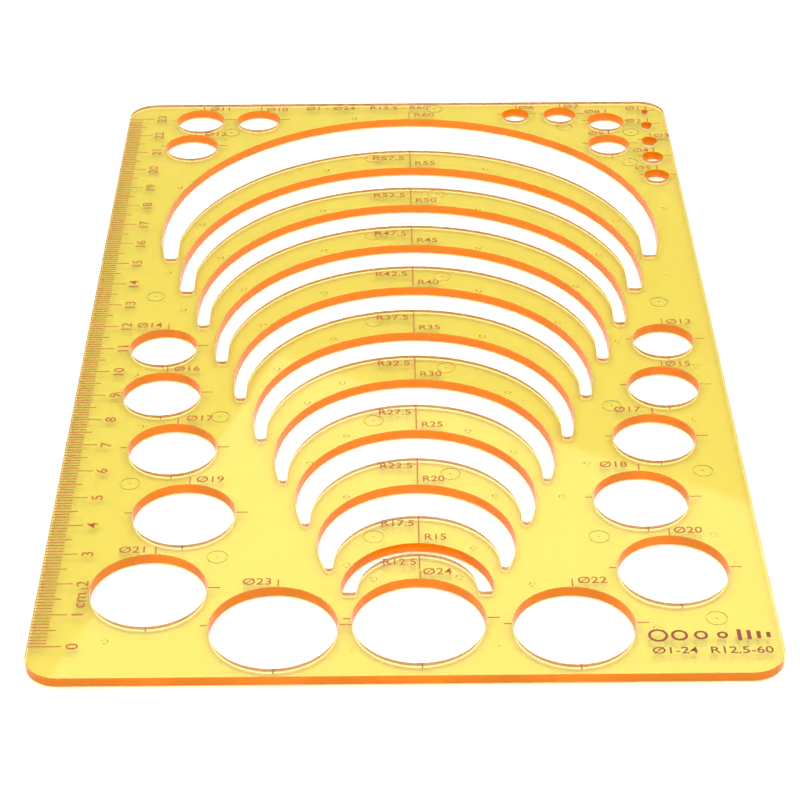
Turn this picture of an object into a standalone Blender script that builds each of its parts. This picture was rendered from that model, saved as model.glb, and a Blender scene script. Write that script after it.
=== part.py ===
"""Circle and radius template: one moulded transparent plate and the print on its top face.

Metres, +Z up. The origin is at the middle of the plate's footprint, on the surface it lies on.
+Y runs along the long side, from the end with the large circles to the end with the small ones.
"""

import math

import bmesh
import bpy

MM = 0.001

# The plate
PLATE_WIDTH = 147.5 * MM
PLATE_LENGTH = 248.5 * MM
PLATE_THICKNESS = 2.0 * MM
CORNER_RADIUS = 7.0 * MM
CORNER_STEPS = 8
WALL_DRAFT = 0.25 * MM  # every opening is this much narrower per side at the underside
AXIS_X = 2.7 * MM  # the line that all radius slots are centred on

# Pips that hold the underside clear of the paper and its wet ink
PIP_HEIGHT = 0.3 * MM
PIP_TIP_RADIUS = 0.45 * MM
PIP_ROOT_RADIUS = 0.8 * MM
PIP_SIDES = 8
PIP_BURIED = 0.1 * MM
UNDERSIDE = PIP_HEIGHT
TOP = UNDERSIDE + PLATE_THICKNESS

# Print films, laid on the top face
PRINT_GAP = 0.03 * MM
PRINT_THICKNESS = 0.05 * MM
LABEL_HEIGHT = 2.0 * MM
SIGN_WIDTH = 1.6 * MM
DIGIT_WIDTH = 1.8 * MM

# The edge scale, along the left side
SCALE_START_Y = -114.6 * MM
SCALE_LENGTH = 230.0 * MM
SCALE_TICK_LENGTH = 6.7 * MM
SCALE_EDGE_INSET = 0.15 * MM
NUMERAL_ROW_X = -64.9 * MM
NUMERAL_ROW_WIDTH = 2.4 * MM

# Circles: name, centre x and y, rim diameter, middle x and y of the printed label
CIRCLES = (
    ("21", -51.5, -96.7, 23.8, -55.9, -83.2),
    ("19", -46.1, -70.8, 21.8, -41.3, -58.1),
    ("17_left", -50.3, -46.3, 19.6, -45.0, -34.3),
    ("16", -54.3, -24.1, 17.9, -49.3, -13.6),
    ("14", -55.4, -4.0, 15.8, -59.4, 5.9),
    ("23", -25.9, -109.0, 25.8, -29.7, -94.3),
    ("24", 2.8, -107.1, 26.8, 6.8, -91.4),
    ("22", 33.4, -109.1, 24.4, 38.0, -94.7),
    ("20", 54.7, -91.2, 22.8, 59.1, -77.9),
    ("18", 50.5, -66.4, 20.4, 45.6, -53.7),
    ("17_right", 55.5, -43.3, 18.4, 50.5, -32.1),
    ("15", 59.6, -22.4, 16.4, 63.8, -13.1),
    ("13", 61.5, -2.6, 14.4, 65.9, 5.7),
    ("12", -55.5, 98.6, 14.0, -49.5, 105.9),
    ("11", -54.1, 114.2, 13.0, -49.2, 121.4),
    ("10", -38.2, 114.2, 11.8, -33.3, 120.8),
    ("9", 56.9, 98.3, 11.0, 53.9, 104.8),
    ("8", 57.1, 112.1, 9.9, 53.9, 118.0),
    ("7", 44.7, 116.3, 8.7, 48.3, 121.3),
    ("6", 32.5, 116.4, 7.4, 35.8, 120.9),
    ("5", 68.1, 80.0, 6.6, 64.8, 84.4),
    ("4", 68.1, 90.8, 5.6, 65.2, 94.5),
    ("3", 68.1, 100.4, 4.2, 71.6, 103.1),
    ("2", 68.2, 109.9, 3.0, 64.8, 112.3),
    ("1", 68.4, 118.1, 1.9, 65.1, 120.0),
)

# Radius slots: far side's radius and crest y, near side's radius and crest y, half width between
# the two straight inner ends, y of the ends
SLOTS = (
    (62.6, 114.3, 59.0, 95.4, 57.8, 37.6),
    (56.6, 85.5, 54.0, 74.3, 52.7, 21.4),
    (51.4, 64.7, 49.0, 53.7, 48.0, 5.5),
    (46.1, 43.7, 43.7, 33.0, 42.8, -10.6),
    (41.0, 22.8, 38.4, 12.1, 37.8, -26.3),
    (35.8, 1.6, 33.0, -8.6, 32.6, -42.9),
    (30.6, -18.9, 27.5, -29.4, 27.4, -59.0),
    (25.6, -39.7, 22.2, -50.7, 22.1, -74.7),
    (20.6, -60.7, 17.2, -72.1, 17.0, -90.2),
    (15.5, -81.7, 12.2, -85.3, 12.1, -98.2),
)
SLOT_END_ROUNDING = 0.9 * MM
SLOT_END_STEPS = 3
BAND_PRINT_REACH = 8.0 * MM  # each way from the slots' axis
BAND_PRINT_INSET = 0.5 * MM

# Round edges and the cutters
STEPS_BASE = 12.0  # steps round a full circle: this, and so many more per root millimetre of radius
STEPS_PER_ROOT_MM = 10.4
FEWEST_STEPS = 14
MOST_STEPS = 64
SMOOTH_ANGLE = math.radians(35)
CUTTER_REACH = 0.5 * MM  # how far the plugs stand out of both faces

# Pips: x and y of each, on the bands between the slots and round the circles
BAND_PIPS = (
    (-11.9, 116.5), (-19.0, 85.6), (23.2, 85.6), (-19.5, 63.3), (20.4, 63.3), (-18.9, 42.6),
    (19.8, 43.2), (-18.4, 21.8), (19.2, 22.2), (-15.8, 0.4), (19.3, 1.2), (-28.6, -12.7),
    (24.2, -23.3), (-13.5, -18.9), (-21.3, -27.0), (14.7, -38.9), (-12.3, -40.6), (24.4, -47.3),
    (-20.2, -51.0), (-12.0, -63.8), (19.7, -63.8), (14.4, -82.5), (-11.7, -87.7), (11.2, -92.0),
    (-6.2, -92.4),
)  # fmt: skip
FIELD_PIPS = (
    (-61.2, -14.8), (-58.2, -36.0), (-58.9, -111.8), (65.5, -35.0), (40.1, -52.0), (33.9, -64.2),
    (68.2, -12.6), (64.6, -78.2), (26.0, -94.6), (49.8, -109.0), (68.6, 63.4), (66.1, 29.0),
    (55.4, 56.7), (49.8, 39.4), (43.0, 24.0), (37.4, 7.0), (51.1, -1.6), (-57.3, 76.8),
    (-50.2, 56.7), (-44.6, 39.4), (-38.0, 24.0), (-32.6, 7.0), (-57.1, 32.1), (-52.1, 14.2),
)  # fmt: skip

# Other print fields: centre x and y, width, depth
MAKER_PANEL = (59.5, -115.0, 25.0, 6.8)
TITLE_PANEL = (-9.3, 121.3, 37.0, 2.0)
TOP_RADIUS_PANEL = (6.6, 116.9, 9.0, 3.8)
LAST_RADIUS_PANEL = (0.2, -88.2, 5.8, 2.0)


def clear_scene():
    """Removes the startup objects."""
    for obj in list(bpy.data.objects):
        bpy.data.objects.remove(obj, do_unlink=True)


def make_material(name, colour, roughness, transmission):
    """A Principled material for one kind of surface."""
    material = bpy.data.materials.new(name)
    material.use_nodes = True
    shader = material.node_tree.nodes["Principled BSDF"]
    shader.inputs["Base Color"].default_value = (*colour, 1.0)
    shader.inputs["Roughness"].default_value = roughness
    shader.inputs["Metallic"].default_value = 0.0
    shader.inputs["Transmission Weight"].default_value = transmission
    return material


def arc(centre_x, centre_y, radius, start, end, steps):
    """Points on an arc, both ends included, angles in radians."""
    angles = [start + (end - start) * step / steps for step in range(steps + 1)]
    return [(centre_x + radius * math.cos(a), centre_y + radius * math.sin(a)) for a in angles]


def steps_for(radius, turn):
    """Enough steps along an arc to look round, without spending triangles on small ones."""
    wanted = STEPS_BASE + STEPS_PER_ROOT_MM * math.sqrt(radius / MM)
    full_circle = min(MOST_STEPS, max(FEWEST_STEPS, wanted))
    return max(2, round(full_circle * turn / math.tau))


def plate_outline():
    """The plate's rounded rectangle, anticlockwise from its right side."""
    half_x = PLATE_WIDTH / 2 - CORNER_RADIUS
    half_y = PLATE_LENGTH / 2 - CORNER_RADIUS
    quarter = math.pi / 2
    corners = ((half_x, half_y), (-half_x, half_y), (-half_x, -half_y), (half_x, -half_y))
    points = []
    for turns, (x, y) in enumerate(corners):
        start = turns * quarter
        points += arc(x, y, CORNER_RADIUS, start, start + quarter, CORNER_STEPS)
    return points


def slot_outline(slot, inset):
    """A slot's outline, anticlockwise, drawn in by inset on all sides."""
    far_radius, far_crest, near_radius, near_crest, inner_half, end_y = (value * MM for value in slot)
    far_y = far_crest - far_radius
    near_y = near_crest - near_radius
    steps = steps_for(far_radius, math.pi)
    far_radius -= inset
    near_radius += inset
    inner_half += inset
    rounding = SLOT_END_ROUNDING - inset
    level = end_y + inset + rounding
    drop = math.asin((level - far_y) / far_radius)
    leave = math.acos(inner_half / near_radius)
    outer_x = far_radius * math.cos(drop)
    quarter = math.pi / 2

    def end_corner(x, start):
        return arc(AXIS_X + x, level, rounding, start, start + quarter, SLOT_END_STEPS)

    points = arc(AXIS_X, far_y, far_radius, drop, math.pi - drop, steps)
    points += end_corner(rounding - outer_x, math.pi)[1:]
    points += end_corner(-inner_half - rounding, 3 * quarter)
    points += arc(AXIS_X, near_y, near_radius, math.pi - leave, leave, steps)
    points += end_corner(inner_half + rounding, math.pi)
    points += end_corner(outer_x - rounding, 3 * quarter)[:-1]
    return points


def add_prism(mesh, lower, upper, bottom, top):
    """Adds a closed prism between two outlines with the same number of points."""
    below = [mesh.verts.new((x, y, bottom)) for x, y in lower]
    above = [mesh.verts.new((x, y, top)) for x, y in upper]
    mesh.faces.new(reversed(below))
    mesh.faces.new(above)
    for index, vertex in enumerate(below):
        following = (index + 1) % len(below)
        mesh.faces.new((vertex, below[following], above[following], above[index]))


def make_object(name, mesh, material):
    """Turns a bmesh into a scene object, faces outward, smooth but for its edges."""
    bmesh.ops.recalc_face_normals(mesh, faces=mesh.faces)
    data = bpy.data.meshes.new(name)
    mesh.to_mesh(data)
    mesh.free()
    if material:
        data.materials.append(material)
    data.shade_smooth()
    data.set_sharp_from_angle(angle=SMOOTH_ANGLE)
    obj = bpy.data.objects.new(name, data)
    bpy.context.collection.objects.link(obj)
    return obj


def hide_helper(obj):
    """Keeps a Boolean's operand out of the model."""
    obj.hide_render = True
    obj.display_type = "WIRE"


def make_cutters():
    """One mesh that holds a tapered plug for every circle and slot."""
    mesh = bmesh.new()
    slope = WALL_DRAFT / PLATE_THICKNESS
    widening = slope * CUTTER_REACH
    bottom, top = UNDERSIDE - CUTTER_REACH, TOP + CUTTER_REACH
    for _, x, y, diameter, _, _ in CIRCLES:
        radius = diameter / 2 * MM
        count = steps_for(radius, math.tau)
        upper = arc(x * MM, y * MM, radius + widening, 0.0, math.tau, count)[:-1]
        lower = arc(x * MM, y * MM, radius - WALL_DRAFT - widening, 0.0, math.tau, count)[:-1]
        add_prism(mesh, lower, upper, bottom, top)
    for slot in SLOTS:
        upper = slot_outline(slot, -widening)
        lower = slot_outline(slot, WALL_DRAFT + widening)
        add_prism(mesh, lower, upper, bottom, top)
    cutters = make_object("opening_cutters", mesh, None)
    hide_helper(cutters)
    return cutters


def make_pips():
    """One mesh with a blunt cone for every pip, rooted inside the plate."""
    slope = (PIP_ROOT_RADIUS - PIP_TIP_RADIUS) / PIP_HEIGHT
    buried_radius = PIP_ROOT_RADIUS + slope * PIP_BURIED
    mesh = bmesh.new()
    for x, y in BAND_PIPS + FIELD_PIPS:
        tip = arc(x * MM, y * MM, PIP_TIP_RADIUS, 0.0, math.tau, PIP_SIDES)[:-1]
        root = arc(x * MM, y * MM, buried_radius, 0.0, math.tau, PIP_SIDES)[:-1]
        add_prism(mesh, tip, root, 0.0, UNDERSIDE + PIP_BURIED)
    pips = make_object("pip_cones", mesh, None)
    hide_helper(pips)
    return pips


def add_boolean(obj, other, operation):
    """Adds an exact Boolean with another object."""
    modifier = obj.modifiers.new(other.name, "BOOLEAN")
    modifier.operation = operation
    modifier.object = other
    modifier.solver = "EXACT"


def make_plate():
    """The plate, with its openings cut and its pips joined on."""
    plastic = make_material("clear_amber_plastic", (0.96, 0.72, 0.10), 0.06, 0.9)
    mesh = bmesh.new()
    outline = plate_outline()
    add_prism(mesh, outline, outline, UNDERSIDE, TOP)
    plate = make_object("template_plate", mesh, plastic)
    add_boolean(plate, make_cutters(), "DIFFERENCE")
    add_boolean(plate, make_pips(), "UNION")
    return plate


def make_film(name, centre_x, centre_y, width, depth, ink):
    """A flat print field on the plate's top face."""
    left, right = centre_x - width / 2, centre_x + width / 2
    near, far = centre_y - depth / 2, centre_y + depth / 2
    outline = [(left, near), (right, near), (right, far), (left, far)]
    mesh = bmesh.new()
    bottom = TOP + PRINT_GAP
    add_prism(mesh, outline, outline, bottom, bottom + PRINT_THICKNESS)
    return make_object(name, mesh, ink)


def make_scale_print(ink):
    """The strip of millimetre lines along the left edge, and the row of its numerals."""
    middle = SCALE_START_Y + SCALE_LENGTH / 2
    left = -PLATE_WIDTH / 2 + SCALE_EDGE_INSET
    width = SCALE_TICK_LENGTH - SCALE_EDGE_INSET
    make_film("scale_tick_print", left + width / 2, middle, width, SCALE_LENGTH + 0.3 * MM, ink)
    depth = SCALE_LENGTH + LABEL_HEIGHT
    make_film("scale_numeral_print", NUMERAL_ROW_X, middle, NUMERAL_ROW_WIDTH, depth, ink)


def make_circle_labels(ink):
    """The diameter printed beside each circle."""
    for name, _, _, _, x, y in CIRCLES:
        width = SIGN_WIDTH + DIGIT_WIDTH * len(name.split("_")[0])
        make_film(f"circle_label_print_{name}", x * MM, y * MM, width, LABEL_HEIGHT, ink)


def make_band_labels(ink):
    """One field on each band between two slots: its index line and the two radii its edges draw."""
    for number, (upper, lower) in enumerate(zip(SLOTS, SLOTS[1:]), start=1):
        near_radius = upper[2] * MM
        fall = near_radius - math.sqrt(near_radius**2 - BAND_PRINT_REACH**2)
        far_y = upper[3] * MM - fall - BAND_PRINT_INSET
        near_y = lower[1] * MM + BAND_PRINT_INSET
        middle = (far_y + near_y) / 2
        make_film(f"band_label_print_{number}", AXIS_X, middle, 2 * BAND_PRINT_REACH, far_y - near_y, ink)


def main():
    """Builds the plate, then every print field."""
    clear_scene()
    make_plate()
    ink = make_material("brown_print", (0.28, 0.07, 0.02), 0.5, 0.0)
    make_scale_print(ink)
    make_circle_labels(ink)
    make_band_labels(ink)
    panels = {
        "maker_panel_print": MAKER_PANEL,
        "title_print": TITLE_PANEL,
        "radius_label_print_top": TOP_RADIUS_PANEL,
        "radius_label_print_last": LAST_RADIUS_PANEL,
    }
    for name, panel in panels.items():
        make_film(name, *(value * MM for value in panel), ink)


main()
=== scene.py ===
"""Circle and radius template in clear amber plastic, with its printed scale, marks and labels.

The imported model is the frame. Lengths are metres, +Z is up, and the scale edge is at -X.
"""

import enum
import logging
import math
from dataclasses import dataclass, field

import bpy
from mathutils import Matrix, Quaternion, Vector


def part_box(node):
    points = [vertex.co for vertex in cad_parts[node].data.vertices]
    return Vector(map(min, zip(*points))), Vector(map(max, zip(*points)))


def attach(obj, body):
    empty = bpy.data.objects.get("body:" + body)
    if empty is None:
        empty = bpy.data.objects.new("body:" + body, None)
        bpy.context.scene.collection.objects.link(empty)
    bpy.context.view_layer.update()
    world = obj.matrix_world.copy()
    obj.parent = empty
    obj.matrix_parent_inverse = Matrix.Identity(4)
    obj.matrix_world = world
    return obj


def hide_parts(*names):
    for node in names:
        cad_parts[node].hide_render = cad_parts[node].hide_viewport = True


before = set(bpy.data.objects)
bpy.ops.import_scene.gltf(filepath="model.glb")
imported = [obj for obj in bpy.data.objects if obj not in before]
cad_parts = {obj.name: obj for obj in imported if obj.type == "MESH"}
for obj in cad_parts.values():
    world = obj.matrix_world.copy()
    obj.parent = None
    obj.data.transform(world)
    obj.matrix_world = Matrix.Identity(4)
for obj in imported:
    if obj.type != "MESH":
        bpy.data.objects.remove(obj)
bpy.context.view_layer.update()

LOG = logging.getLogger("template")
Colour = tuple[float, float, float]
Span = tuple[float, float]  # a value on the first band, and its change up to the last
MM = 0.001
PLATE_NODE = "template_plate"
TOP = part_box(PLATE_NODE)[1].z
INK_BASE = TOP + 0.005 * MM
INK_THICKNESS = 0.03 * MM
INK_MIDDLE = INK_BASE + INK_THICKNESS / 2
CAPITAL_SHARE = 0.667  # a capital's height as a share of the type size
AXIS_X = 2.7  # the line that the radius slots are centred on, in mm
PRINT_SHIFT_X = 0.5  # how far the print sits off the moulding, in mm


class Reading(enum.Enum):
    """Which way a line of characters runs."""

    ACROSS = 0.0
    UP_THE_EDGE = math.pi / 2


class Slot(enum.Enum):
    """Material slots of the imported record."""

    PLASTIC = "clear_amber_plastic"
    INK = "brown_print"


def deselect() -> None:
    """Leaves object mode with nothing selected and nothing active."""
    if bpy.context.object and bpy.context.object.mode != "OBJECT":
        bpy.ops.object.mode_set(mode="OBJECT")
    bpy.ops.object.select_all(action="DESELECT")


def select(*objects: bpy.types.Object) -> None:
    """Selects just these objects, the first of them active.

    Args:
        objects: The objects to select.
    """
    deselect()
    for obj in objects:
        obj.select_set(True)
    bpy.context.view_layer.objects.active = objects[0]


def apply_place(obj: bpy.types.Object) -> None:
    """Moves an object's place, turn and scale into its mesh.

    Args:
        obj: A mesh object.
    """
    select(obj)
    bpy.ops.object.transform_apply(location=True, rotation=True, scale=True)


def apply_modifier(obj: bpy.types.Object, kind: str, **settings: object) -> None:
    """Adds one modifier, sets it and applies it.

    Args:
        obj: The mesh object that it works on.
        kind: Blender's modifier type.
        settings: Values for the modifier's properties.
    """
    select(obj)
    modifier = obj.modifiers.new(kind.title(), kind)
    for name, value in settings.items():
        setattr(modifier, name, value)
    bpy.ops.object.modifier_apply(modifier=modifier.name)


def wear_group() -> bpy.types.NodeTree:
    """Builds the node group for soft surface unevenness and fine dust, once.

    Returns:
        A shader node group that puts out a tone between 0 and 1, a roughness and a bump height.
    """
    name = "surface_wear"
    if name in bpy.data.node_groups:
        return bpy.data.node_groups[name]
    group = bpy.data.node_groups.new(name, "ShaderNodeTree")
    for label, default in (("Scale", 30.0), ("Roughness", 0.1), ("Spread", 0.05)):
        socket = group.interface.new_socket(label, in_out="INPUT", socket_type="NodeSocketFloat")
        socket.default_value = default
    for label in ("Tone", "Roughness", "Height"):
        group.interface.new_socket(label, in_out="OUTPUT", socket_type="NodeSocketFloat")
    nodes, links = group.nodes, group.links
    given, out = nodes.new("NodeGroupInput"), nodes.new("NodeGroupOutput")
    place = nodes.new("ShaderNodeTexCoord")
    broad = nodes.new("ShaderNodeTexNoise")
    broad.inputs["Detail"].default_value = 2.0
    fine = nodes.new("ShaderNodeTexNoise")
    fine.inputs["Detail"].default_value = 4.0
    faster = nodes.new("ShaderNodeMath")
    faster.operation = "MULTIPLY"
    faster.inputs[1].default_value = 14.0
    spread = nodes.new("ShaderNodeMath")
    spread.operation = "MULTIPLY"
    total = nodes.new("ShaderNodeMath")
    total.operation = "ADD"
    links.new(place.outputs["Object"], broad.inputs["Vector"])
    links.new(place.outputs["Object"], fine.inputs["Vector"])
    links.new(given.outputs["Scale"], broad.inputs["Scale"])
    links.new(given.outputs["Scale"], faster.inputs[0])
    links.new(faster.outputs[0], fine.inputs["Scale"])
    links.new(fine.outputs["Fac"], spread.inputs[0])
    links.new(given.outputs["Spread"], spread.inputs[1])
    links.new(spread.outputs[0], total.inputs[0])
    links.new(given.outputs["Roughness"], total.inputs[1])
    links.new(fine.outputs["Fac"], out.inputs["Tone"])
    links.new(total.outputs[0], out.inputs["Roughness"])
    links.new(broad.outputs["Fac"], out.inputs["Height"])
    return group


def new_material(name: str) -> tuple[bpy.types.Material, bpy.types.Node, bpy.types.Node]:
    """Starts a material with a Principled shader and the wear group beside it.

    Args:
        name: The material's name.

    Returns:
        The material, its Principled node and its wear node.
    """
    material = bpy.data.materials.new(name)
    material.use_nodes = True
    wear = material.node_tree.nodes.new("ShaderNodeGroup")
    wear.node_tree = wear_group()
    return material, material.node_tree.nodes["Principled BSDF"], wear


@dataclass(frozen=True)
class PlasticFinish:
    """Polished transparent plastic that is coloured through."""

    face: Colour = (0.985, 0.985, 0.93)
    face_gloss: float = 0.5
    # painted glow: this orange surface colour stands in for light that travels a long way inside
    # the plate
    wall: Colour = (1.0, 0.27, 0.0)
    wall_clearness: float = 0.3
    wall_gloss: float = 0.15
    body: Colour = (0.9995, 0.925, 0.03)
    density: float = 520.0
    ior: float = 1.49
    roughness: float = 0.015
    wave_height: float = 0.01
    wave_scale: float = 25.0
    wave_strength: float = 0.2
    roughness_spread: float = 0.02

    def material(
        self, name: str, clearness: float, gloss: float, surface: Colour
    ) -> bpy.types.Material:
        """Builds the plastic's material for one kind of surface.

        Args:
            name: The material's name.
            clearness: The share of light that goes through the surface unscattered.
            gloss: The strength of the surface's mirror reflection, 0.5 for a clean one.
            surface: The colour that the surface adds; on the walls it is a painted orange glow
                that stands in for light travelling a long way inside the plate.

        Returns:
            A glass-like material whose colour comes mostly from absorption in its volume.
        """
        material, shader, wear = new_material(name)
        tree = material.node_tree
        shader.inputs["Base Color"].default_value = (*surface, 1.0)
        shader.inputs["Metallic"].default_value = 0.0
        shader.inputs["Transmission Weight"].default_value = clearness
        shader.inputs["IOR"].default_value = self.ior
        shader.inputs["Specular IOR Level"].default_value = gloss
        wear.inputs["Scale"].default_value = self.wave_scale
        wear.inputs["Roughness"].default_value = self.roughness
        wear.inputs["Spread"].default_value = self.roughness_spread
        bump = tree.nodes.new("ShaderNodeBump")
        bump.inputs["Strength"].default_value = self.wave_strength
        bump.inputs["Distance"].default_value = self.wave_height * MM
        volume = tree.nodes.new("ShaderNodeVolumeAbsorption")
        volume.inputs["Color"].default_value = (*self.body, 1.0)
        volume.inputs["Density"].default_value = self.density
        tree.links.new(wear.outputs["Roughness"], shader.inputs["Roughness"])
        tree.links.new(wear.outputs["Height"], bump.inputs["Height"])
        tree.links.new(bump.outputs["Normal"], shader.inputs["Normal"])
        tree.links.new(volume.outputs["Volume"], tree.nodes["Material Output"].inputs["Volume"])
        return material

    def materials(self) -> list[bpy.types.Material]:
        """Builds the polished faces' material, then the walls' duller, less clear copy with a
        painted orange glow.
        """
        return [
            self.material("amber_face", 1.0, self.face_gloss, self.face),
            # the walls' copy of the plastic, with a painted orange glow in place of light
            # carried through the plate
            self.material("amber_wall_painted_glow", self.wall_clearness, self.wall_gloss, self.wall),
        ]


@dataclass(frozen=True)
class InkFinish:
    """Thin screen print, a little uneven in its tone."""

    name: str
    dark: Colour
    light: Colour
    roughness: float = 0.45
    roughness_spread: float = 0.1
    grain: float = 60.0

    def material(self) -> bpy.types.Material:
        """Builds the ink's material.

        Returns:
            A matte material that wanders between the ink's two tones.
        """
        material, shader, wear = new_material(self.name)
        tree = material.node_tree
        mix = tree.nodes.new("ShaderNodeMix")
        mix.data_type = "RGBA"
        shader.inputs["Metallic"].default_value = 0.0
        wear.inputs["Scale"].default_value = self.grain
        wear.inputs["Roughness"].default_value = self.roughness
        wear.inputs["Spread"].default_value = self.roughness_spread
        factor = next(socket for socket in mix.inputs if socket.type == "VALUE")
        mixed = next(socket for socket in mix.outputs if socket.type == "RGBA")
        tree.links.new(wear.outputs["Tone"], factor)
        tree.links.new(mixed, shader.inputs["Base Color"])
        tree.links.new(wear.outputs["Roughness"], shader.inputs["Roughness"])
        tones = {"A": self.dark, "B": self.light}
        for socket in mix.inputs:
            if socket.type == "RGBA" and socket.name in tones:
                socket.default_value = (*tones[socket.name], 1.0)
        return material


@dataclass(frozen=True)
class PaperFinish:
    """The pale floor."""

    colour: Colour = (0.93, 0.93, 0.93)
    roughness: float = 0.8
    roughness_spread: float = 0.05

    def material(self) -> bpy.types.Material:
        """Builds the floor's material.

        Returns:
            A matte white material.
        """
        material, shader, wear = new_material("pale_floor")
        shader.inputs["Base Color"].default_value = (*self.colour, 1.0)
        wear.inputs["Roughness"].default_value = self.roughness
        wear.inputs["Spread"].default_value = self.roughness_spread
        material.node_tree.links.new(wear.outputs["Roughness"], shader.inputs["Roughness"])
        return material


@dataclass
class StrokeSheet:
    """One field of ink: straight strokes, rings and characters, joined into a single piece.

    All places and sizes are given in millimetres on the plate's top face.
    """

    name: str
    nodes: tuple[str, ...]
    ink: bpy.types.Material
    bars: list[tuple[float, float, float, float]] = field(default_factory=list)
    parts: list[bpy.types.Object] = field(default_factory=list)

    def bar(self, x: float, y: float, width: float, depth: float) -> None:
        """Notes one straight stroke.

        Args:
            x: Its middle across the plate.
            y: Its middle along the plate.
            width: Its size across the plate.
            depth: Its size along the plate.
        """
        self.bars.append((x, y, width, depth))

    def lay_bars(self) -> None:
        """Makes the noted strokes as thin solids in one mesh."""
        if not self.bars:
            return
        deselect()
        for index, (x, y, width, depth) in enumerate(self.bars):
            bpy.ops.mesh.primitive_cube_add(
                size=1.0,
                location=(x * MM, y * MM, INK_MIDDLE),
                scale=(width * MM, depth * MM, INK_THICKNESS),
            )
            if index == 0:
                made = bpy.context.object
                apply_place(made)
                bpy.ops.object.mode_set(mode="EDIT")
        bpy.ops.object.mode_set(mode="OBJECT")
        self.parts.append(made)

    def characters(
        self,
        text: str,
        x: float,
        y: float,
        height: float,
        stretch: float = 1.0,
        reading: Reading = Reading.ACROSS,
        weight: float = 0.004,
    ) -> None:
        """Sets one line of characters.

        Args:
            text: The characters.
            x: Their middle across the plate.
            y: Their middle along the plate.
            height: The height of a capital.
            stretch: How much wider than usual the characters are.
            reading: The way that the line runs.
            weight: How far the strokes are drawn in or swollen, as a share of the type size.
        """
        deselect()
        bpy.ops.object.text_add(location=(0.0, 0.0, 0.0))
        line = bpy.context.object
        line.data.body = text
        line.data.size = 1.0
        line.data.resolution_u = 4
        line.data.offset = weight
        line.data.extrude = 0.5
        select(line)
        bpy.ops.object.convert(target="MESH")
        line = bpy.context.object
        low = Vector([min(v.co[axis] for v in line.data.vertices) for axis in range(3)])
        high = Vector([max(v.co[axis] for v in line.data.vertices) for axis in range(3)])
        middle, span = (low + high) / 2, high - low
        size = height * MM / CAPITAL_SHARE
        scale = Vector((size * stretch, size, INK_THICKNESS / span.z))
        turn = Quaternion((0.0, 0.0, 1.0), reading.value)
        offset = turn @ Vector((middle.x * scale.x, middle.y * scale.y, middle.z * scale.z))
        line.rotation_mode = "QUATERNION"
        line.rotation_quaternion = turn
        line.scale = scale
        line.location = Vector((x * MM, y * MM, INK_MIDDLE)) - offset
        apply_place(line)
        self.parts.append(line)

    def ring(self, x: float, y: float, radius: float, stroke: float) -> None:
        """Adds a thin printed ring.

        Args:
            x: Its middle across the plate.
            y: Its middle along the plate.
            radius: The radius of the middle of its stroke.
            stroke: The width of its stroke.
        """
        deselect()
        bpy.ops.mesh.primitive_torus_add(
            location=(0.0, 0.0, 0.0),
            major_segments=32,
            minor_segments=6,
            major_radius=radius * MM,
            minor_radius=stroke / 2 * MM,
        )
        made = bpy.context.object
        made.scale.z = INK_THICKNESS / (stroke * MM)
        made.location = (x * MM, y * MM, INK_MIDDLE)
        apply_place(made)
        self.parts.append(made)

    def finish(self) -> bpy.types.Object:
        """Joins the strokes into one piece and hands it to the frame.

        Returns:
            The finished piece.
        """
        self.lay_bars()
        select(*self.parts)
        if len(self.parts) > 1:
            bpy.ops.object.join()
        piece = bpy.context.object
        piece.name = self.name
        piece.data.name = self.name
        piece.data.materials.clear()
        piece.data.materials.append(self.ink)
        apply_place(piece)
        piece.parent = None
        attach(piece, "root")
        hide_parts(*self.nodes)
        LOG.info("%s: %d faces", piece.name, len(piece.data.polygons))
        return piece


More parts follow.
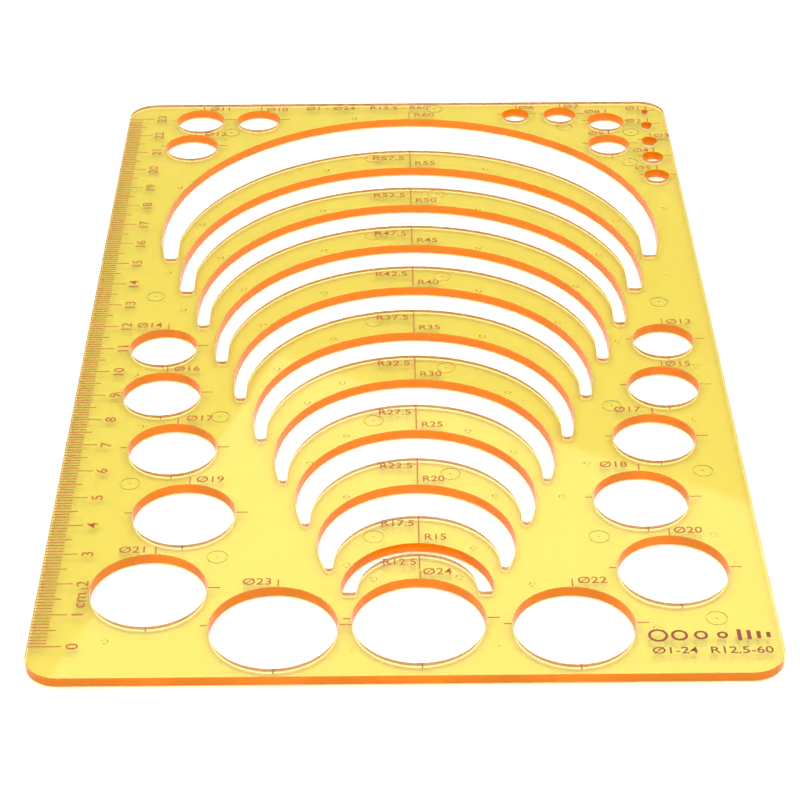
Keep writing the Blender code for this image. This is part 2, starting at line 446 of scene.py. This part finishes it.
@dataclass
class TemplatePlate:
    """The moulded plate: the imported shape, welded, with the mould's ejector rings."""

    finish: PlasticFinish
    ring_radius: float = 2.1
    ring_wire: float = 0.16
    ring_rise: float = 0.07
    dot_radius: float = 0.45
    dot_rise: float = 0.8
    upright_limit: float = 0.3
    level_limit: float = 0.999
    least_wall: float = 1.4
    smooth_angle: float = 25.0
    weld: float = 0.001
    rings: tuple[tuple[float, float], ...] = (
        (-58.4, -59.7), (-38.2, -86.0), (-40.5, -33.9), (47.2, -30.7), (64.7, -56.5),
        (40.5, -80.1), (61.6, -107.5), (62.2, 14.7), (-59.0, 19.1), (-45.2, 106.8),
        (45.6, 108.6), (63.5, 105.2), (61.7, 87.5), (10.3, 120.4), (-6.6, 90.6),
        (9.8, 70.5), (-6.5, 48.4), (10.4, 27.5), (-6.2, 6.5), (10.4, -14.2),
        (-6.3, -36.0), (10.3, -56.9), (-6.2, -79.5),
    )  # fmt: skip
    dots: tuple[tuple[float, float], ...] = ((-10.4, -117.0), (18.3, -115.5))

    def shell(self) -> bpy.types.Object:
        """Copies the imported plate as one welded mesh.

        Returns:
            The plate without its marks.
        """
        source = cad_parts[PLATE_NODE]
        select(source)
        bpy.ops.object.duplicate()
        plate = bpy.context.object
        for key in list(plate.keys()):
            del plate[key]
        plate.parent = None
        bpy.ops.mesh.customdata_custom_splitnormals_clear()
        bpy.ops.object.mode_set(mode="EDIT")
        bpy.ops.mesh.select_all(action="SELECT")
        bpy.ops.mesh.remove_doubles(threshold=self.weld * MM)
        bpy.ops.object.mode_set(mode="OBJECT")
        return plate

    def ring_cutters(self) -> bpy.types.Object:
        """Makes the thin rings and dots that the ejector pins print into the top face.

        Returns:
            One mesh that holds every cutter.
        """
        deselect()
        level = TOP + self.ring_rise * MM
        for index, (x, y) in enumerate(self.rings):
            bpy.ops.mesh.primitive_torus_add(
                location=(x * MM, y * MM, level),
                major_segments=36,
                minor_segments=16,
                major_radius=self.ring_radius * MM,
                minor_radius=self.ring_wire * MM,
            )
            if index == 0:
                cutters = bpy.context.object
                apply_place(cutters)
                bpy.ops.object.mode_set(mode="EDIT")
        for x, y in self.rings + self.dots:
            bpy.ops.mesh.primitive_uv_sphere_add(
                segments=16,
                ring_count=8,
                radius=self.dot_radius * MM,
                location=(x * MM, y * MM, TOP + self.dot_rise * self.dot_radius * MM),
            )
        bpy.ops.object.mode_set(mode="OBJECT")
        return cutters

    def dress_walls(self, plate: bpy.types.Object) -> None:
        """Gives the upright walls the painted-glow material, whose orange stands in for light
        carried through the plate, and keeps the level faces flat.

        Args:
            plate: The finished mesh, faces first in its material list and walls second.
        """
        points = plate.data.vertices
        for polygon in plate.data.polygons:
            heights = [points[index].co.z for index in polygon.vertices]
            upright = abs(polygon.normal.z) < self.upright_limit
            if upright and max(heights) - min(heights) > self.least_wall * MM:
                # painted glow: the tall upright walls get the orange material that stands in for
                # light carried through the plate
                polygon.material_index = 1
            if abs(polygon.normal.z) > self.level_limit:
                polygon.use_smooth = False

    def build(self) -> bpy.types.Object:
        """Builds the plate, paints the glow onto its walls and hands it over.

        Returns:
            The finished piece.
        """
        plate = self.shell()
        cutters = self.ring_cutters()
        apply_modifier(plate, "BOOLEAN", operation="DIFFERENCE", solver="EXACT", object=cutters)
        bpy.data.objects.remove(cutters)
        select(plate)
        bpy.ops.object.shade_smooth_by_angle(angle=math.radians(self.smooth_angle))
        plate.name = "amber_plate"
        plate.data.name = "amber_plate"
        plate.data.materials.clear()
        for material in self.finish.materials():
            plate.data.materials.append(material)
        self.dress_walls(plate)
        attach(plate, "root")
        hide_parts(PLATE_NODE)
        LOG.info("%s: %d faces", plate.name, len(plate.data.polygons))
        return plate


@dataclass
class EdgeScale:
    """The centimetre scale along the left edge, in millimetres."""

    ink: bpy.types.Material
    edge_x: float = -73.6
    start_y: float = -114.6
    centimetres: int = 23
    millimetre_reach: float = 3.6
    half_reach: float = 5.1
    centimetre_reach: float = 6.7
    stroke: float = 0.26
    numeral_x: float = -64.9
    numeral_height: float = 2.3
    stretch: float = 1.13
    unit_y: float = -100.0

    def tick_reach(self, millimetre: int) -> float:
        """Gives how far one line reaches in from the edge.

        Args:
            millimetre: The line's place on the scale.

        Returns:
            The longest reach at each centimetre, a middling one halfway, else the shortest.
        """
        if millimetre % 10 == 0:
            return self.centimetre_reach
        return self.half_reach if millimetre % 5 == 0 else self.millimetre_reach

    def build(self) -> list[bpy.types.Object]:
        """Builds the lines and the numerals.

        Returns:
            The two finished pieces.
        """
        lines = StrokeSheet("scale_lines", ("scale_tick_print",), self.ink)
        for millimetre in range(10 * self.centimetres + 1):
            reach = self.tick_reach(millimetre)
            lines.bar(self.edge_x + reach / 2, self.start_y + millimetre, reach, self.stroke)
        numerals = StrokeSheet("scale_numerals", ("scale_numeral_print",), self.ink)
        for centimetre in range(self.centimetres + 1):
            text = str(centimetre)
            y = self.start_y + 10 * centimetre
            numerals.characters(
                text, self.numeral_x, y, self.numeral_height, self.stretch, Reading.UP_THE_EDGE
            )
        numerals.characters(
            "cm", self.numeral_x + 0.3, self.unit_y, 2.5, self.stretch, Reading.UP_THE_EDGE
        )
        return [lines.finish(), numerals.finish()]


@dataclass
class CircleMarks:
    """The label and the four centre marks of one circle, in millimetres."""

    ink: bpy.types.Material
    name: str
    x: float
    y: float
    diameter: float
    label_x: float
    label_y: float
    stretch: float = 1.12
    cap_height: float = 2.0
    mark_reach: float = 2.1
    small_mark_reach: float = 1.6
    small_diameter: float = 8.0
    shift_x: float = PRINT_SHIFT_X
    shift_y: float = 0.5
    rim_gap: float = 0.12
    stroke: float = 0.26

    def build(self) -> bpy.types.Object:
        """Builds the circle's print.

        Returns:
            The finished piece.
        """
        sheet = StrokeSheet(
            f"circle_marks_{self.name}", (f"circle_label_print_{self.name}",), self.ink
        )
        number = self.name.split("_")[0]
        sheet.characters(f"Ø{number}", self.label_x, self.label_y, self.cap_height, self.stretch)
        radius = self.diameter / 2
        small = self.diameter <= self.small_diameter
        reach = self.small_mark_reach if small else self.mark_reach
        centre_x, centre_y = self.x + self.shift_x, self.y + self.shift_y
        clear = radius + self.rim_gap
        for side in (-1, 1):
            length = reach + side * self.shift_x - self.rim_gap
            sheet.bar(self.x + side * (clear + length / 2), centre_y, length, self.stroke)
            depth = reach + side * self.shift_y - self.rim_gap
            sheet.bar(centre_x, self.y + side * (clear + depth / 2), self.stroke, depth)
        return sheet.finish()


@dataclass
class BandMarks:
    """The index line on one band between two slots, and the radii of its two edges."""

    ink: bpy.types.Material
    number: int
    near_crest: float
    far_crest: float
    near_text: str
    far_text: str
    last: int = 9
    stroke: float = 0.26
    cap_height: float = 2.0
    rim_gap: float = 0.2
    near_x: Span = (-2.5, 1.3)
    near_drop: Span = (4.5, -1.9)
    near_stretch: Span = (1.26, -0.23)
    far_x: Span = (7.2, -0.6)
    far_rise: Span = (2.5, -0.4)
    far_stretch: Span = (1.2, -0.2)

    def along(self, span: Span) -> float:
        """A value that changes evenly from the first band to the last."""
        start, change = span
        return start + change * (self.number - 1) / (self.last - 1)

    def build(self) -> bpy.types.Object:
        """Builds the band's print.

        Returns:
            The finished piece.
        """
        sheet = StrokeSheet(
            f"band_marks_{self.number}", (f"band_label_print_{self.number}",), self.ink
        )
        far, near = self.near_crest - self.rim_gap, self.far_crest + self.rim_gap
        sheet.bar(AXIS_X + PRINT_SHIFT_X, (far + near) / 2, self.stroke, far - near)
        sheet.characters(
            self.near_text,
            self.along(self.near_x),
            self.near_crest - self.along(self.near_drop),
            self.cap_height,
            self.along(self.near_stretch),
        )
        sheet.characters(
            self.far_text,
            self.along(self.far_x),
            self.far_crest + self.along(self.far_rise),
            self.cap_height,
            self.along(self.far_stretch),
        )
        return sheet.finish()


@dataclass
class SmallPanels:
    """The print away from the circles and bands, in millimetres."""

    ink: bpy.types.Material
    bold_ink: bpy.types.Material
    stroke: float = 0.26

    def top_radius(self) -> bpy.types.Object:
        """Builds the radius of the first slot's far edge, beside its index line.

        Returns:
            The finished piece.
        """
        sheet = StrokeSheet("top_radius_marks", ("radius_label_print_top",), self.ink)
        sheet.bar(AXIS_X + PRINT_SHIFT_X, 116.75, self.stroke, 3.4)
        sheet.characters("R60", 7.4, 116.8, 2.0, 1.2)
        return sheet.finish()

    def last_radius(self) -> bpy.types.Object:
        """Builds the radius of the last slot's near edge, beside its index line.

        Returns:
            The finished piece.
        """
        sheet = StrokeSheet("last_radius_marks", ("radius_label_print_last",), self.ink)
        sheet.bar(AXIS_X + PRINT_SHIFT_X, -88.2, self.stroke, 4.6)
        sheet.characters("R12.5", -0.9, -88.1, 2.0, 1.03)
        return sheet.finish()

    def title(self) -> bpy.types.Object:
        """Builds the ranges of sizes along the back edge.

        Returns:
            The finished piece.
        """
        sheet = StrokeSheet("title_marks", ("title_print",), self.ink)
        sheet.characters("Ø1 - Ø24", -18.5, 121.3, 1.9, 1.2)
        sheet.characters("R12.5 - R60", 0.6, 121.3, 1.9, 1.2)
        return sheet.finish()

    def emblem(self) -> bpy.types.Object:
        """Builds a row of plain drawing figures, with the range of sizes below it.

        Returns:
            The finished piece.
        """
        sheet = StrokeSheet("emblem_marks", ("maker_panel_print",), self.bold_ink)
        for index, radius in enumerate((1.7, 1.4, 1.1, 0.8)):
            sheet.ring(49.5 + 4.2 * index, -112.7, radius, 0.55)
        for index, height in enumerate((3.4, 2.8, 2.2, 1.6)):
            sheet.bar(65.4 + 1.9 * index, -112.7, 0.8, height)
        sheet.characters("Ø1-24", 52.4, -117.3, 1.9, 1.2)
        sheet.characters("R12.5-60", 65.4, -117.3, 1.9, 1.2)
        return sheet.finish()

    def build(self) -> list[bpy.types.Object]:
        """Builds all four panels.

        Returns:
            The finished pieces.
        """
        return [self.top_radius(), self.last_radius(), self.title(), self.emblem()]


@dataclass
class Studio:
    """Pale floor, soft light and the camera, in metres and degrees."""

    floor: PaperFinish
    floor_size: float = 6.0
    floor_drop: float = 0.05
    sky_top: float = 2.2
    sky_rim: float = 0.64
    sky_brightening: tuple[float, float] = (0.5, 0.95)
    softbox_power: float = 18.0
    softbox_size: float = 2.4
    softbox_height: float = 1.7
    camera_place: tuple[float, float, float] = (-0.0022, -0.4768, 0.2947)
    yaw: float = 0.2376
    elevation: float = 33.0585
    roll: float = -0.3368
    lens: float = 106.977

    def lay_floor(self) -> None:
        """Lays the floor on the plane that the template rests on."""
        deselect()
        bpy.ops.mesh.primitive_grid_add(
            x_subdivisions=4,
            y_subdivisions=4,
            size=self.floor_size,
            location=(0.0, 0.0, -self.floor_drop * MM),
        )
        floor = bpy.context.object
        floor.name = "floor"
        floor.data.materials.append(self.floor.material())

    def light(self) -> None:
        """Sets a white surround, brighter overhead, and one large softbox."""
        world = bpy.data.worlds.new("studio")
        world.use_nodes = True
        nodes, links = world.node_tree.nodes, world.node_tree.links
        background = nodes["Background"]
        background.inputs["Color"].default_value = (1.0, 1.0, 1.0, 1.0)
        place, split = nodes.new("ShaderNodeTexCoord"), nodes.new("ShaderNodeSeparateXYZ")
        rise = nodes.new("ShaderNodeMapRange")
        rise.inputs["From Min"].default_value = self.sky_brightening[0]
        rise.inputs["From Max"].default_value = self.sky_brightening[1]
        rise.inputs["To Min"].default_value = self.sky_rim
        rise.inputs["To Max"].default_value = self.sky_top
        links.new(place.outputs["Generated"], split.inputs["Vector"])
        links.new(split.outputs["Z"], rise.inputs["Value"])
        links.new(rise.outputs["Result"], background.inputs["Strength"])
        bpy.context.scene.world = world
        bpy.ops.object.light_add(type="AREA", location=(0.3, 0.5, self.softbox_height))
        lamp = bpy.context.object
        lamp.data.shape = "SQUARE"
        lamp.data.size = self.softbox_size
        lamp.data.energy = self.softbox_power
        aim = Vector((0.0, 0.0, 0.0)) - lamp.location
        lamp.rotation_euler = aim.to_track_quat("-Z", "Y").to_euler()

    def place_camera(self) -> None:
        """Places the camera in front of and above the large circles."""
        yaw, elevation = math.radians(self.yaw), math.radians(self.elevation)
        flat = math.cos(elevation)
        aim = Vector((math.sin(yaw) * flat, math.cos(yaw) * flat, -math.sin(elevation)))
        deselect()
        bpy.ops.object.camera_add(location=self.camera_place)
        camera = bpy.context.object
        camera.rotation_mode = "QUATERNION"
        roll = Quaternion((0.0, 0.0, 1.0), math.radians(self.roll))
        camera.rotation_quaternion = aim.to_track_quat("-Z", "Y") @ roll
        camera.data.lens = self.lens
        camera.data.sensor_width = 36.0
        camera.data.clip_start = 0.01
        camera.data.clip_end = 20.0
        bpy.context.scene.camera = camera

    def build(self) -> None:
        """Builds the whole stage."""
        self.lay_floor()
        self.light()
        self.place_camera()
        bpy.context.scene.view_settings.view_transform = "Standard"


# Circles: name, centre x and y, rim diameter, middle x and y of the label
CIRCLES = (
    ("21", -51.5, -96.7, 23.8, -55.9, -83.2),
    ("19", -46.1, -70.8, 21.8, -41.3, -58.1),
    ("17_left", -50.3, -46.3, 19.6, -45.0, -34.3),
    ("16", -54.3, -24.1, 17.9, -49.3, -13.6),
    ("14", -55.4, -4.0, 15.8, -59.4, 5.9),
    ("23", -25.9, -109.0, 25.8, -29.7, -94.3),
    ("24", 2.8, -107.1, 26.8, 6.8, -91.4),
    ("22", 33.4, -109.1, 24.4, 38.0, -94.7),
    ("20", 54.7, -91.2, 22.8, 59.1, -77.9),
    ("18", 50.5, -66.4, 20.4, 45.6, -53.7),
    ("17_right", 55.5, -43.3, 18.4, 50.5, -32.1),
    ("15", 59.6, -22.4, 16.4, 63.8, -13.1),
    ("13", 61.5, -2.6, 14.4, 65.9, 5.7),
    ("12", -55.5, 98.6, 14.0, -49.5, 105.9),
    ("11", -54.1, 114.2, 13.0, -49.2, 121.4),
    ("10", -38.2, 114.2, 11.8, -33.3, 120.8),
    ("9", 56.9, 98.3, 11.0, 53.9, 104.8),
    ("8", 57.1, 112.1, 9.9, 53.9, 118.0),
    ("7", 44.7, 116.3, 8.7, 48.3, 121.3),
    ("6", 32.5, 116.4, 7.4, 35.8, 120.9),
    ("5", 68.1, 80.0, 6.6, 64.8, 84.4),
    ("4", 68.1, 90.8, 5.6, 65.2, 94.5),
    ("3", 68.1, 100.4, 4.2, 71.6, 103.1),
    ("2", 68.2, 109.9, 3.0, 64.8, 112.3),
    ("1", 68.4, 118.1, 1.9, 65.1, 120.0),
)

# Bands: far and near crest y of the two rims, and the radii printed on the band
BANDS = (
    (95.4, 85.5, "R57.5", "R55"),
    (74.3, 64.7, "R52.5", "R50"),
    (53.7, 43.7, "R47.5", "R45"),
    (33.0, 22.8, "R42.5", "R40"),
    (12.1, 1.6, "R37.5", "R35"),
    (-8.6, -18.9, "R32.5", "R30"),
    (-29.4, -39.7, "R27.5", "R25"),
    (-50.7, -60.7, "R22.5", "R20"),
    (-72.1, -81.7, "R17.5", "R15"),
)


def main() -> None:
    """Builds the plate, its print and the stage, in that order."""
    logging.basicConfig(level=logging.INFO, format="%(name)s: %(message)s")
    ink = InkFinish("brown_ink", (0.30, 0.045, 0.004), (0.42, 0.08, 0.006)).material()
    bold_ink = InkFinish("dark_brown_ink", (0.16, 0.012, 0.004), (0.24, 0.025, 0.005)).material()
    TemplatePlate(PlasticFinish()).build()
    EdgeScale(ink).build()
    for row in CIRCLES:
        CircleMarks(ink, *row).build()
    for number, (far, near, near_text, far_text) in enumerate(BANDS, start=1):
        BandMarks(ink, number, far, near, near_text, far_text).build()
    SmallPanels(ink, bold_ink).build()
    Studio(PaperFinish()).build()


if __name__ == "__main__":
    main()
